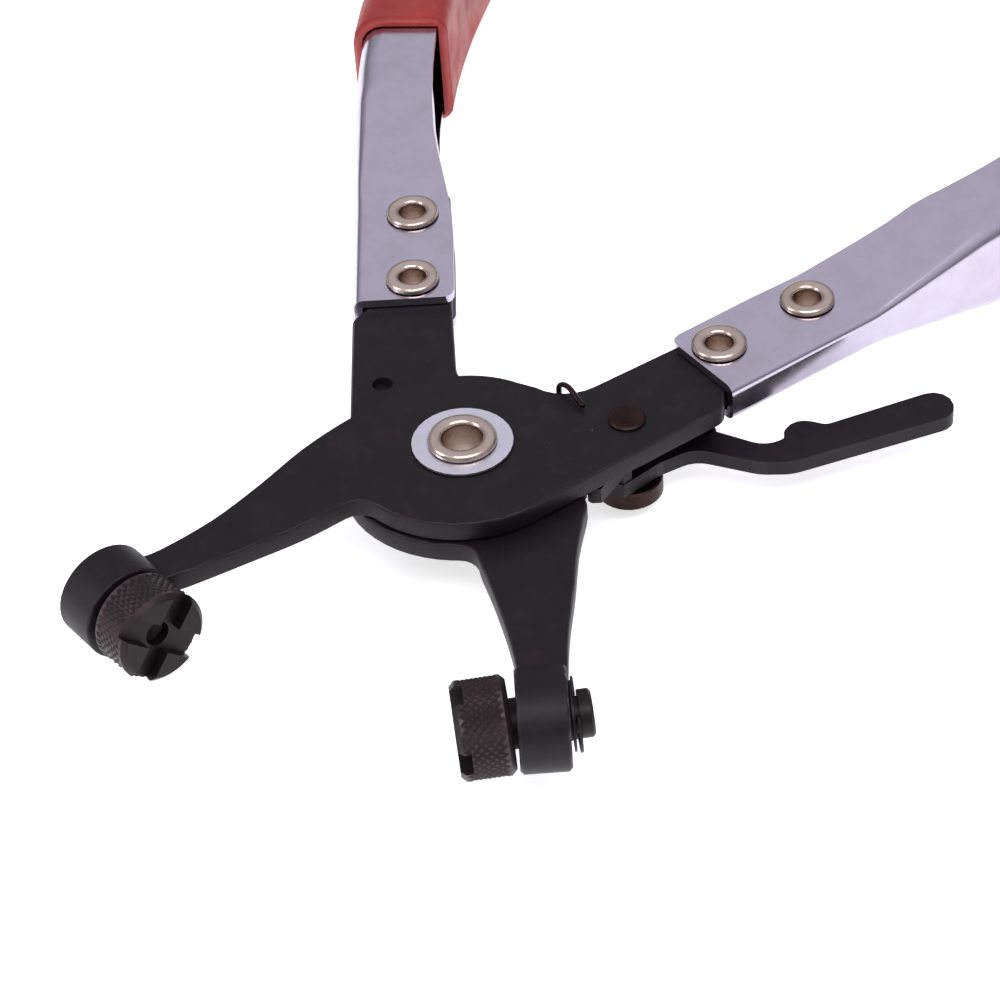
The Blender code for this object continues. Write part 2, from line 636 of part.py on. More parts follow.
def build_grip(name, arm, side, middle, finish):
    stations = grip_stations()
    last = stations[-1]
    wall = GRIP_WALL + SEAT_GAP
    lip = GRIP_FRONT + GRIP_ROUND
    rings = [grip_ring(stations[0], wall, GRIP_CORNER, middle, side, GRIP_ROUND)]
    rings += [grip_ring(s, wall, GRIP_CORNER, middle, side) for s in [lip] + stations[1:]]
    rings.append(grip_ring(last + GRIP_END_WALL - GRIP_ROUND * 2, wall, GRIP_CORNER, middle, side))
    rings.append(grip_ring(last + GRIP_END_WALL, wall, GRIP_CORNER, middle, side, GRIP_ROUND * 2))
    piece = add_object(name, loft(rings), arm, finish)
    hollow = [GRIP_FRONT - OVERRUN] + stations + [last + SEAT_GAP]
    cavity = [grip_ring(s, SEAT_GAP, 0, middle, side) for s in hollow]
    combine(piece, cutter(name + "_cavity", loft(cavity), arm))
    return piece


def head_frame(eye_base, name, yaw, rise):
    """Frame of a head, cocked in the play of its eye."""
    world = eye_base.matrix_basis.to_3x3()
    turn = world.inverted() @ Matrix.Rotation(yaw, 3, "Z") @ world
    tip = Matrix.Rotation(-rise, 3, "X")
    up = (world @ Vector((0, 1, 0))).z
    if up < 0:
        tip = Matrix.Rotation(rise, 3, "X")
    return frame(name, eye_base, (0, 0, 0), (turn @ tip).to_4x4())


def build_head(name, base, spin, finish):
    back = EYE_WIDTH / 2 + HEAD_GAP
    face = back + HEAD_LENGTH
    step = EYE_WIDTH / 2
    groove = CLIP / 2 + PIN_PLAY / 2
    profile = [
        (0, face - HEAD_HOLE_DEPTH), (HEAD_HOLE_R, face - HEAD_HOLE_DEPTH + HEAD_HOLE_R / 2),
        (HEAD_HOLE_R, face), (HEAD_R - HEAD_CHAMFER, face), (HEAD_R, face - HEAD_CHAMFER),
        (HEAD_R, back + HEAD_CHAMFER),
        (HEAD_R - HEAD_CHAMFER, back), (HEAD_SHANK_R, back), (HEAD_SHANK_R, -step), (TAIL_R, -step),
        (TAIL_R, -CLIP_PLACE - CLIP / 2 + groove), (CLIP_GROOVE_R, -CLIP_PLACE - CLIP / 2 + groove),
        (CLIP_GROOVE_R, -CLIP_PLACE - CLIP / 2 - groove), (TAIL_R, -CLIP_PLACE - CLIP / 2 - groove),
        (TAIL_R, TAIL_CHAMFER - TAIL_END), (TAIL_R - TAIL_CHAMFER, -TAIL_END), (0, -TAIL_END)]
    piece = add_object(name, turned(profile, FINE_STEPS), base, finish)
    wide, thin = HEAD_R + OVERRUN, HEAD_SLOT / 2
    cross = [(wide, -thin), (wide, thin), (thin, thin), (thin, wide), (-thin, wide), (-thin, thin),
             (-wide, thin), (-wide, -thin), (-thin, -thin), (-thin, -wide), (thin, -wide), (thin, -thin)]
    bm = slab(cross, face - HEAD_SLOT_DEPTH, face + OVERRUN)
    bmesh.ops.rotate(bm, verts=bm.verts[:], cent=(0, 0, 0), matrix=Matrix.Rotation(spin, 3, "Z"))
    combine(piece, cutter(name + "_slots", bm, base))
    return piece


def build_clip(name, base, spin, finish):
    """Snap ring in the tail's groove: an open band with three lugs that reach in."""
    band = CLIP_R - CLIP_BAND
    reach = CLIP_GROOVE_R + SEAT_GAP
    start, stop = CLIP_MOUTH / 2, 2 * math.pi - CLIP_MOUTH / 2
    points = arc((0, 0), CLIP_R, start, stop, 22)
    lug = math.asin(CLIP_LUG / 2 / band)
    places = [stop - lug, math.pi, start + lug]
    inner = []
    for i, place in enumerate(places):
        inner += [polar(reach, place + lug), polar(reach, place - lug)]
        if i < 2:
            inner += arc((0, 0), band, place - lug * CLIP_LUG_ROOT, places[i + 1] + lug * CLIP_LUG_ROOT, 6)
    low = -CLIP_PLACE - CLIP
    bm = slab(points + inner, low, low + CLIP)
    bmesh.ops.rotate(bm, verts=bm.verts[:], cent=(0, 0, 0), matrix=Matrix.Rotation(spin, 3, "Z"))
    return add_object(name, bm, base, finish)


def pawl_outline():
    """Outline of the pawl from the lever's rivet, turned back from where its teeth mesh."""
    place = Vector((LEVER_RIVET_X, LEVER_RIVET_Y))
    turn = UPPER_TURN - LOWER_TURN
    teeth = []
    first = math.ceil((-PAWL_END - turn - RATCHET_FROM) / RATCHET_PITCH)
    for i in range(PAWL_TEETH):
        steep = RATCHET_FROM + RATCHET_PITCH * (first - i) - RATCHET_LAND
        foot, above, outer = tooth_gap(steep, PAWL_CLEARANCE, SEAT_GAP)
        teeth += [above, foot, outer]
    points = []
    for x, y in teeth:
        point = Matrix.Rotation(-turn, 2) @ Vector((x, -y))
        points.append(Matrix.Rotation(PAWL_TRAVEL, 2) @ (point - place))
    return points


def build_lever(arm, finish):
    place = (LEVER_RIVET_X, LEVER_RIVET_Y)
    base = frame("lock_lever_axis", arm, (place[0], place[1], 0))
    low = LEVER_TOP - LEVER
    piece = add_object("lock_lever", slab(rounded(LEVER_CORNERS, 4), low, LEVER_TOP), base, finish)
    bevel(piece, LEVER_EDGE)
    foot = cutter("pawl_foot", slab(PAWL_FINGER, LEVER_TOP - PAWL_SINK, PAWL_LOW + PAWL_SINK), base)
    combine(piece, foot, "UNION")
    tip = Vector(polar(PAWL_OUTER_R, PAWL_END)) - Vector(place)
    finger = [tuple(point) for point in pawl_outline()]
    finger += [PAWL_FINGER[3], PAWL_FINGER[2], PAWL_FINGER[1], PAWL_FINGER[0], tuple(tip)]
    combine(piece, cutter("pawl_finger", slab(finger, PAWL_LOW, PAWL_TOP), base), "UNION")
    low, high = low - OVERRUN, LEVER_TOP + OVERRUN
    combine(piece, rod("lever_hole", base, (0, 0), LEVER_RIVET_R + PIN_PLAY, low, high))
    return base


def build_lever_rivet(arm, finish):
    foot = LEVER_TOP - LEVER - SEAT_GAP
    low = foot - LEVER_DISC
    edge, peen = LEVER_DISC_CHAMFER, LEVER_PEEN_CHAMFER
    dome = LEVER_PEEN + peen / 2
    profile = [
        (0, low), (LEVER_DISC_R - edge, low), (LEVER_DISC_R, low + edge), (LEVER_DISC_R, foot - edge / 2),
        (LEVER_DISC_R - edge / 2, foot), (LEVER_RIVET_R, foot), (LEVER_RIVET_R, SEAT_GAP),
        (LEVER_PEEN_R, SEAT_GAP), (LEVER_PEEN_R, LEVER_PEEN - peen), (LEVER_PEEN_R - peen, LEVER_PEEN),
        (LEVER_PEEN_R / 2, dome), (0, dome)]
    bm = turned(profile, ROUND_STEPS)
    bmesh.ops.translate(bm, verts=bm.verts[:], vec=(LEVER_RIVET_X, LEVER_RIVET_Y, 0))
    return add_object("lever_rivet", bm, arm, finish)


def spring_points():
    """Middle of the spring wire: hook over the arm, leg, curls round the rivet, leg to the lever."""
    coil = LEVER_RIVET_R + SEAT_GAP + WIRE_R
    high = -PLATE - SEAT_GAP - WIRE_R
    low = LEVER_TOP + SEAT_GAP + WIRE_R
    points = list(HOOK) + [(x, y, high) for x, y in HOOK_FOOT]
    sweep = 2 * math.pi * CURLS + CURL_EXTRA
    count = CURL_POINTS * CURLS + 2
    for i in range(count + 1):
        x, y = polar(coil, math.pi + sweep * i / count)
        points.append((x, y, high + (low - high) * i / count))
    levels = (low, low - WIRE_R, LEVER_TOP - LEVER / 2)
    points += [(x, y, z) for (x, y), z in zip(SPRING_LEG, levels)]
    return points


def build_spring(arm, finish):
    points = spring_points()
    curve = bpy.data.curves.new("lever_spring", "CURVE")
    curve.dimensions = "3D"
    curve.bevel_depth = WIRE_R
    curve.bevel_resolution = 1
    curve.use_fill_caps = True
    line = curve.splines.new("POLY")
    line.points.add(len(points) - 1)
    for point, (x, y, z) in zip(line.points, points):
        point.co = (x, y, z, 1)
    curve.materials.append(finish)
    piece = bpy.data.objects.new("lever_spring", curve)
    bpy.context.collection.objects.link(piece)
    piece.parent = arm
    piece.location = (LEVER_RIVET_X, LEVER_RIVET_Y, 0)
    print("least gap of the spring wire to itself, mm:", round(wire_gap(points) / MM, 3))
    return piece


def wire_gap(points):
    """Least gap between runs of the wire that aren't neighbours along it."""
    fine = []
    for a, b in zip(points, points[1:]):
        a, b = Vector(a), Vector(b)
        count = max(1, int((b - a).length / WIRE_R))
        fine += [a + (b - a) * k / count for k in range(count)]
    along = [0.0]
    for a, b in zip(fine, fine[1:]):
        along.append(along[-1] + (b - a).length)
    least = math.inf
    for i in range(len(fine)):
        for j in range(i + 1, len(fine)):
            if along[j] - along[i] > WIRE_R * 10:
                least = min(least, (fine[i] - fine[j]).length - 2 * WIRE_R)
    return least


def build_upper_arm(base):
    arm = {"side": 1, "top": 0, "shift": 0, "ratchet": False, "disc_r": UPPER_DISC_R,
           "inner_y": UPPER_INNER_Y, "outer_y": UPPER_OUTER_Y, "eye": UPPER_EYE, "turn": UPPER_EYE_TURN,
           "middles": UPPER_JAW_MIDDLE, "jaw_root": UPPER_JAW_ROOT, "tip_halves": UPPER_TIP_HALVES}
    place = frame("upper_arm_frame", base, rotation=Matrix.Rotation(UPPER_TURN, 4, "Z"))
    piece, eye = build_arm("upper_arm", place, arm, FINISH["oxide"])
    rivet = (LEVER_RIVET_X, LEVER_RIVET_Y)
    combine(piece, rod("lever_rivet_hole", place, rivet, LEVER_RIVET_R + PIN_PLAY, -PLATE - OVERRUN, OVERRUN))
    build_handle("right_handle", place, 1, -PLATE / 2, UPPER_INNER_Y - RIVET_LINE_Y, FINISH["sheet"])
    build_grip("right_grip", place, 1, -PLATE / 2, FINISH["vinyl"])
    build_lever(place, FINISH["oxide"])
    build_lever_rivet(place, FINISH["rivet"])
    build_spring(place, FINISH["spring"])
    build_jaw_head("left", eye, UPPER_HEAD_YAW, UPPER_HEAD_RISE, UPPER_HEAD_SPIN, UPPER_CLIP_SPIN)


def build_lower_arm(base):
    arm = {"side": -1, "top": LOWER_TOP, "shift": LOWER_SHIFT, "ratchet": True, "disc_r": LOWER_DISC_R,
           "inner_y": LOWER_INNER_Y, "outer_y": LOWER_OUTER_Y, "eye": LOWER_EYE, "turn": LOWER_EYE_TURN,
           "middles": LOWER_JAW_MIDDLE, "jaw_root": LOWER_JAW_SHOULDER, "tip_halves": LOWER_TIP_HALVES}
    place = frame("lower_arm_frame", base, rotation=Matrix.Rotation(LOWER_TURN, 4, "Z"))
    piece, eye = build_arm("lower_arm", place, arm, FINISH["oxide"])
    combine(piece, ratchet_notches(place, -1))
    low, high = LOWER_TOP - DIMPLE_DEPTH, LOWER_TOP + OVERRUN
    combine(piece, rod("dimple", place, (DIMPLE_X, -DIMPLE_Y), DIMPLE_R, low, high, SMALL_STEPS))
    middle = LOWER_TOP - PLATE / 2
    handle = frame("left_handle_frame", place, (LOWER_SHIFT, 0, 0))
    build_handle("left_handle", handle, -1, middle, LOWER_INNER_Y - RIVET_LINE_Y, FINISH["sheet"])
    build_grip("left_grip", handle, -1, middle, FINISH["vinyl"])
    build_jaw_head("right", eye, LOWER_HEAD_YAW, LOWER_HEAD_RISE, LOWER_HEAD_SPIN, LOWER_CLIP_SPIN)


def build_jaw_head(hand, eye, yaw, rise, spin, clip_spin):
    back = -EYE_WIDTH / 2 - PIN_PLAY
    bore = TAIL_R + PIN_PLAY
    seat = head_frame(eye, f"{hand}_jaw_washer_seat", yaw / 2, rise / 2)
    ring(f"{hand}_jaw_washer", seat, bore, HEAD_WASHER_R, back - HEAD_WASHER, back, FINISH["oxide"])
    base = head_frame(eye, f"{hand}_jaw_head_axis", yaw, rise)
    build_head(f"{hand}_jaw_head", base, spin, FINISH["knurl"])
    build_clip(f"{hand}_jaw_clip", base, clip_spin, FINISH["oxide"])


def build_pivot(base):
    seat = WASHER + 2 * SEAT_GAP
    sizes = (PIVOT_BORE_R, PIVOT_SHANK_R, PIVOT_FLANGE_R, PIVOT_FLANGE)
    bottom = LOWER_TOP - PLATE - SEAT_GAP
    hollow_rivet("pivot_rivet", base, (0, 0), sizes, bottom, seat, FINISH["nickel"])
    bore = PIVOT_SHANK_R + PIN_PLAY
    ring("pivot_washer", base, bore, WASHER_R, SEAT_GAP, SEAT_GAP + WASHER, FINISH["zinc"])


def model_bounds():
    """Lowest and highest corner of every visible piece, as its modifiers leave it."""
    graph = bpy.context.evaluated_depsgraph_get()
    low = Vector((math.inf, math.inf, math.inf))
    high = -low
    for item in bpy.data.objects:
        if item.type == "EMPTY" or item.hide_render:
            continue
        shape = item.evaluated_get(graph)
        mesh = shape.to_mesh()
        for vertex in mesh.vertices:
            point = shape.matrix_world @ vertex.co
            low = Vector(map(min, low, point))
            high = Vector(map(max, high, point))
        shape.to_mesh_clear()
    return low, high


def stand_on_origin(base):
    """Move the tool so that its box stands on the origin, centred over it."""
    bpy.context.view_layer.update()
    low, high = model_bounds()
    base.location = (-(low.x + high.x) / 2, -(low.y + high.y) / 2, -low.z)
    bpy.context.view_layer.update()
    print("size, mm:", [round(v / MM, 2) for v in high - low])
    print("pivot at, m:", [round(v, 6) for v in base.matrix_world.translation])
    for name in ("lock_lever_axis", "left_jaw_head_axis", "right_jaw_head_axis"):
        place = bpy.data.objects[name].matrix_world
        axis = place.to_3x3() @ Vector((0, 0, 1))
        print(name, [round(v, 6) for v in place.translation], "axis", [round(v, 6) for v in axis])


clear_scene()
FINISH = {
    "oxide": material("black_oxide", BLACK_OXIDE, 0.5, 0.6),
    "knurl": material("knurled_steel", KNURLED_STEEL, 0.5, 0.7),
    "sheet": material("plated_sheet", PLATED_SHEET, 0.28, 0.95),
    "nickel": material("nickel", NICKEL, 0.25, 1.0),
    "zinc": material("zinc", ZINC, 0.4, 0.8),
    "rivet": material("bare_rivet", BARE_RIVET, 0.5, 0.8),
    "spring": material("spring_steel", SPRING_STEEL, 0.4, 0.9),
    "vinyl": material("dipped_vinyl", VINYL, 0.5, 0.0),
}
ROOT = frame("pliers")
build_pivot(ROOT)
build_upper_arm(ROOT)
build_lower_arm(ROOT)
stand_on_origin(ROOT)
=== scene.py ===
# %% [markdown]
# # Hose clamp pliers in a white studio
# The construction model already holds every piece at its real size and place. This lesson dresses
# it: each piece gets its finish, and the turned, knurled and rolled pieces are modelled again with
# the fine surface that a construction model leaves out. We start by loading that model as a fixed
# frame, because everything later is placed from it.

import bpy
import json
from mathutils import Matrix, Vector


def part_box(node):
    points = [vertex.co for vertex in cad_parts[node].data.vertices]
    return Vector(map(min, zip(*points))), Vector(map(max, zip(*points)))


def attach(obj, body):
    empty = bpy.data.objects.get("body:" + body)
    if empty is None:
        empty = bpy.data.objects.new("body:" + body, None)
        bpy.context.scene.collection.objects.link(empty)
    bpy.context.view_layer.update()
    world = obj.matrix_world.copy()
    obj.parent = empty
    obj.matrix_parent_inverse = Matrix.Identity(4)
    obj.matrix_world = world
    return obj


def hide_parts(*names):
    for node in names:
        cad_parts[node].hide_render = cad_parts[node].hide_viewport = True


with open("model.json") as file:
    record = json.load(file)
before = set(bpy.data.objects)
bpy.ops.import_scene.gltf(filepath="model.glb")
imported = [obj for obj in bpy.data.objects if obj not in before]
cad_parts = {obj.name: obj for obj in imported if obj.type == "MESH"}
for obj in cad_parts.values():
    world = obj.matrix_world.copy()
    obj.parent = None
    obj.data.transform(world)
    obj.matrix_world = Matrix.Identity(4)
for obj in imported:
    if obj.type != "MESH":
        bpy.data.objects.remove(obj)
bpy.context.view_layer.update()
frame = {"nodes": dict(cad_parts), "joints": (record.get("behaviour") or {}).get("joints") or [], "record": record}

# %% Names and sizes used throughout
import json
import math

import bpy
from mathutils import Matrix, Vector

MM = 0.001
NODES = frame["nodes"]
JOINTS = {joint["name"]: joint for joint in frame["joints"]}
PIVOT = Vector(JOINTS["handles_close"]["pos_m"])
BODIES = frame["record"]["behaviour"]["bodies"]
BODY_OF = {node: body for body, nodes in BODIES.items() for node in nodes}
SLOT_OF = {part["node"]: part["material_slot"] for part in frame["record"]["subparts"]}
print("pivot at", [round(v / MM, 1) for v in PIVOT], "mm;", len(NODES), "nodes")

# %% [markdown]
# ## The camera
# The photograph was taken with a long lens from well above the bench, so the far handle hardly
# shrinks. The eyelets, the washer and the two plates fix where that camera stood. We could point a
# camera with a constraint, but its small roll is easier to give as one matrix: the columns are the
# camera's right, its up and the way back to it.

# %% Camera at the photograph's angle
LENS = 123.95
SENSOR_WIDTH = 36
NEAREST = 0.01
ELEVATION = math.radians(41.379)
ROLL = math.radians(-4.347)
DISTANCE = 527.44 * MM
AIM = PIVOT + Vector((5.16 * MM, -13.91 * MM, 0))

back = Vector((0, -math.cos(ELEVATION), math.sin(ELEVATION)))
level = Vector((1, 0, 0))
rise = back.cross(level)
right = level * math.cos(ROLL) + rise * math.sin(ROLL)
up = rise * math.cos(ROLL) - level * math.sin(ROLL)
turn = Matrix((right, up, back)).transposed().to_4x4()

camera_data = bpy.data.cameras.new("camera")
camera_data.lens = LENS
camera_data.sensor_width = SENSOR_WIDTH
camera_data.clip_start = NEAREST
camera = bpy.data.objects.new("camera", camera_data)
bpy.context.scene.collection.objects.link(camera)
camera.matrix_world = Matrix.Translation(AIM + back * DISTANCE) @ turn
bpy.context.scene.camera = camera
print("camera at", [round(v, 3) for v in camera.matrix_world.translation])

# %% [markdown]
# ## Writing shader maths as sums
# A node tree is quick to draw but slow to read. This small class wraps one socket, so that a mask
# can be written as `1 - wear * 0.5`, and the nodes are added behind it. Anything that isn't plain
# arithmetic goes through `node`, which takes a node's type, its settings and its inputs. Two nodes
# hold several sockets of one name, so theirs are picked by number.

# %% A socket that takes part in arithmetic
RAMP_VALUE, RAMP_LOW, RAMP_HIGH, RAMP_START, RAMP_END = 0, 1, 2, 3, 4
MIX_FACTOR, MIX_FIRST, MIX_SECOND, MIX_COLOUR = 0, 6, 7, 2


class Wire:
    def __init__(self, tree, socket=None):
        self.tree = tree
        self.socket = socket

    def node(self, kind, settings=None, inputs=None, output=0):
        made = self.tree.nodes.new(kind)
        for name, value in (settings or {}).items():
            setattr(made, name, value)
        for name, value in (inputs or {}).items():
            if isinstance(value, Wire):
                self.tree.links.new(value.socket, made.inputs[name])
            else:
                made.inputs[name].default_value = value
        return Wire(self.tree, made.outputs[output])

    def math(self, operation, a, b=0.0):
        return self.node("ShaderNodeMath", {"operation": operation}, {0: a, 1: b})

    def __add__(self, other):
        return self.math("ADD", self, other)

    def __radd__(self, other):
        return self.math("ADD", other, self)

    def __sub__(self, other):
        return self.math("SUBTRACT", self, other)

    def __rsub__(self, other):
        return self.math("SUBTRACT", other, self)

    def __mul__(self, other):
        return self.math("MULTIPLY", self, other)

    def __rmul__(self, other):
        return self.math("MULTIPLY", other, self)

    def between(self, low, high):
        """0 below low, 1 above high and a straight ramp between."""
        return self.node("ShaderNodeMapRange", {"clamp": True}, {
            RAMP_VALUE: self, RAMP_LOW: low, RAMP_HIGH: high, RAMP_START: 0.0, RAMP_END: 1.0})

    def mixed(self, first, second):
        """Colour that goes from first, at 0, to second, at 1."""
        return self.node("ShaderNodeMix", {"data_type": "RGBA"}, {
            MIX_FACTOR: self, MIX_FIRST: first, MIX_SECOND: second}, MIX_COLOUR)

# %% [markdown]
# ## Patterns that stay on the metal
# A worn surface is mostly noise of the right size. Every pattern is read from Object coordinates,
# which are metres in the tool's own frame, so 3 mm in the code is 3 mm on the tool. We could unwrap
# each piece instead, but stamped and turned steel has no weave or seam that a pattern must follow.

# %% Textures on the object's own coordinates
EDGE_MARK = "edge"
SPECK_CORE = 0.6
SCRATCH_PULL = 0.012
SCRATCH_WIDTH = 0.010
SCRATCH_SPREAD = 7


def placed(tree):
    """Object coordinates: metres in the frame that the whole tool shares."""
    return tree.node("ShaderNodeTexCoord", output="Object")


def in_frame(tree, axes, origin):
    """Coordinates seen from a local frame, whose axes are the columns of a 3x3 matrix."""
    turn = axes.transposed()
    return tree.node("ShaderNodeMapping", {"vector_type": "POINT"}, {
        "Vector": placed(tree), "Location": -(turn @ origin), "Rotation": turn.to_euler()})


def parts_of(vector):
    """X, Y and Z of a vector, each as a wire."""
    split = vector.node("ShaderNodeSeparateXYZ", inputs={0: vector})
    outputs = split.socket.node.outputs
    return [Wire(vector.tree, outputs[i]) for i in range(3)]


def stretched(vector, scale):
    return vector.node("ShaderNodeVectorMath", {"operation": "MULTIPLY"}, {0: vector, 1: scale})


def noise(vector, size, detail=2.0, rough=0.5):
    """Noise whose blotches are about size metres across."""
    return vector.node("ShaderNodeTexNoise", inputs={
        "Vector": vector, "Scale": 1 / size, "Detail": detail, "Roughness": rough})


def specks(vector, size, share, radius):
    """Scattered round specks: of cells size metres wide, a share holds a speck of a radius."""
    near = vector.node("ShaderNodeTexVoronoi", {"feature": "F1"}, {
        "Vector": vector, "Scale": 1 / size})
    pick = parts_of(Wire(vector.tree, near.socket.node.outputs["Color"]))[0]
    spot = 1 - near.between(radius / size * SPECK_CORE, radius / size)
    return spot * pick.between(1 - share, 1 - share * SPECK_CORE)


def scratches(vector, size, turn):
    """Thin broken scratches: noise pulled out into sheets, which cut the surface in lines."""
    turned = vector.node("ShaderNodeMapping", {"vector_type": "POINT"}, {
        "Vector": vector, "Rotation": turn})
    sheets = noise(stretched(turned, (SCRATCH_PULL, 1.0, SCRATCH_PULL)), size, 0.0)
    thin = 1 - sheets.math("ABSOLUTE", sheets - 0.5).between(0.0, SCRATCH_WIDTH)
    return thin * noise(vector, size * SCRATCH_SPREAD, 1.0).between(0.60, 0.72)


def worn_edge(tree):
    """Mask of rubbed edges: the narrow faces that `seasoned` marks, broken up by noise."""
    mark = tree.node("ShaderNodeAttribute", {"attribute_name": EDGE_MARK}, output="Fac")
    return mark * noise(placed(tree), 6 * MM, 4.0, 0.6).between(0.30, 0.85)


print("a scratch is about", round(1 / SCRATCH_PULL), "times as long as its noise is wide")

# %% [markdown]
# ## One recipe for every finish
# All finishes here need the same few things: how metallic they are, a colour, a roughness and a
# fine relief. We write that recipe once. A value that is the same all over is set on the shader
# itself, and a value that varies is a function, which draws its own nodes.

# %% Building one finish
def finish(name, metallic, base, roughness, bump, bump_depth, specular=0.5):
    """Material whose values are plain numbers, or functions that return a wire."""
    made = bpy.data.materials.new(name)
    made.use_nodes = True
    tree = Wire(made.node_tree)
    shader = made.node_tree.nodes["Principled BSDF"]
    wanted = {"Metallic": metallic, "Base Color": base, "Roughness": roughness}
    wanted["Normal"] = lambda tree: tree.node("ShaderNodeBump", inputs={
        "Height": bump(tree), "Distance": bump_depth, "Strength": 1.0})
    for socket, value in wanted.items():
        if callable(value):
            made.node_tree.links.new(value(tree).socket, shader.inputs[socket])
        else:
            shader.inputs[socket].default_value = value
    shader.inputs["Specular IOR Level"].default_value = specular
    print("finish", name, "with", len(made.node_tree.nodes), "nodes")
    return made


FINISH = {}

# %% [markdown]
# ## Black oxide on the stamped plates
# The plates, the lever and the small rings are blackened steel: nearly black, faintly purple in
# the light and a little red where the oil has dried, with a few pale specks of dust. A flat black
# would lose that, so the colour comes from two sizes of noise, and the finest noise also becomes a
# bump, which breaks up the sheen as the grain of rolled steel does. The edges are rubbed brighter.

# %% Black oxide
DEEP_BLACK = (0.0040, 0.0024, 0.0040, 1)
VIOLET_BLACK = (0.0068, 0.0042, 0.0064, 1)
DRIED_OIL = (0.016, 0.0070, 0.0078, 1)
DUST = (0.09, 0.08, 0.08, 1)
RUBBED_STEEL = (0.040, 0.032, 0.037, 1)


def oxide_colour(tree):
    place = placed(tree)
    cloud = noise(place, size=9 * MM, detail=3.0).between(0.35, 0.7)
    oil = noise(place, size=3.2 * MM, detail=4.0, rough=0.6).between(0.52, 0.78)
    black = cloud.mixed(DEEP_BLACK, VIOLET_BLACK)
    tinted = (oil * 0.6).mixed(black, DRIED_OIL)
    coarse_dust = specks(place, size=3.1 * MM, share=0.10, radius=0.16 * MM)
    fine_dust = specks(place, size=1.3 * MM, share=0.04, radius=0.08 * MM)
    dusty = (coarse_dust + fine_dust).between(0.0, 1.0).mixed(tinted, DUST)
    return (worn_edge(tree) * 0.45).mixed(dusty, RUBBED_STEEL)


def oxide_roughness(tree):
    return 0.40 + noise(placed(tree), size=2.4 * MM, detail=3.0) * 0.18 - worn_edge(tree) * 0.1


def oxide_bump(tree):
    place = placed(tree)
    pits = specks(place, size=2.2 * MM, share=0.12, radius=0.2 * MM)
    return noise(place, size=0.35 * MM) + noise(place, size=1.6 * MM) * 0.6 - pits * 1.5


FINISH["black_oxide"] = finish(
    "black_oxide", metallic=0.0, base=oxide_colour, roughness=oxide_roughness, bump=oxide_bump,
    bump_depth=0.010 * MM, specular=0.24)

# %% [markdown]
# ## Plated sheet, nickel, zinc and bare steel
# The handles are bright plated sheet, a little violet and softly clouded, with fine scratches. The
# eyelets and the pivot are warmer nickel, the washer is blue-white zinc, and the lever's rivet is
# bare steel that was hammered over and has browned, as has the spring. All are metals, so their
# colour is what they reflect; one function makes each from its own tint, stain and grain.

# %% Bright and bare metals
def metal(name, tint, stain, stain_share, polish, grain, grain_depth, scratch=1.0):
    """Metal that is clouded with a stain, grained at one size and crossed by fine scratches."""
    def cuts(tree):
        place = placed(tree)
        first = scratches(place, size=1.1 * MM, turn=(0.2, 0.1, 0.6))
        second = scratches(place, size=0.8 * MM, turn=(0.1, 0.3, 2.1))
        return (first + second) * scratch

    def base(tree):
        place = placed(tree)
        cloud = noise(place, size=6 * MM, detail=4.0, rough=0.6).between(0.42, 0.75)
        spots = specks(place, size=1.9 * MM, share=0.12, radius=0.14 * MM)
        return (cloud * stain_share + spots * 0.5).between(0.0, 1.0).mixed(tint, stain)

    def roughness(tree):
        return polish + noise(placed(tree), size=3 * MM, detail=3.0) * 0.12 + cuts(tree) * 0.15

    def bump(tree):
        place = placed(tree)
        return noise(place, grain) + noise(place, grain * 6) * 0.5 - cuts(tree) * 1.2

    return finish(name, 1.0, base, roughness, bump, grain_depth)


FINISH["plated_sheet"] = metal(
    "plated_sheet", tint=(0.53, 0.49, 0.60, 1), stain=(0.42, 0.39, 0.46, 1), stain_share=0.5,
    polish=0.13, grain=0.6 * MM, grain_depth=0.0015 * MM)
FINISH["nickel"] = metal(
    "nickel", tint=(0.56, 0.46, 0.41, 1), stain=(0.36, 0.27, 0.22, 1), stain_share=0.5,
    polish=0.20, grain=0.4 * MM, grain_depth=0.002 * MM)
FINISH["zinc"] = metal(
    "zinc", tint=(0.74, 0.73, 0.84, 1), stain=(0.58, 0.57, 0.64, 1), stain_share=0.5,
    polish=0.30, grain=0.5 * MM, grain_depth=0.005 * MM)
FINISH["bare_rivet"] = metal(
    "bare_rivet", tint=(0.040, 0.021, 0.020, 1), stain=(0.016, 0.009, 0.010, 1), stain_share=0.9,
    polish=0.38, grain=0.7 * MM, grain_depth=0.03 * MM, scratch=0.4)
FINISH["spring_steel"] = metal(
    "spring_steel", tint=(0.034, 0.020, 0.020, 1), stain=(0.016, 0.009, 0.009, 1), stain_share=0.8,
    polish=0.30, grain=0.3 * MM, grain_depth=0.008 * MM, scratch=0.5)

# %% [markdown]
# ## Dipped grips
# A dipped grip is soft vinyl: the colour is nearly even, but the skin has a shallow orange peel
# from how it dried, and it is scuffed paler where a hand or a bench rubs it.

# %% Vinyl
DEEP_RED = (0.25, 0.014, 0.014, 1)
BRIGHT_RED = (0.36, 0.026, 0.022, 1)
SCUFFED_RED = (0.42, 0.12, 0.11, 1)


def vinyl_colour(tree):
    place = placed(tree)
    cloud = noise(place, size=14 * MM, detail=3.0).between(0.3, 0.7)
    red = cloud.mixed(DEEP_RED, BRIGHT_RED)
    scuff = noise(place, size=4 * MM, detail=5.0, rough=0.65).between(0.60, 0.75)
    return (scuff * 0.35).mixed(red, SCUFFED_RED)


def vinyl_roughness(tree):
    return 0.42 + noise(placed(tree), size=5 * MM, detail=4.0).between(0.4, 0.7) * 0.22


def vinyl_bump(tree):
    place = placed(tree)
    return noise(place, size=1.4 * MM, detail=1.0) + noise(place, size=0.3 * MM) * 0.2


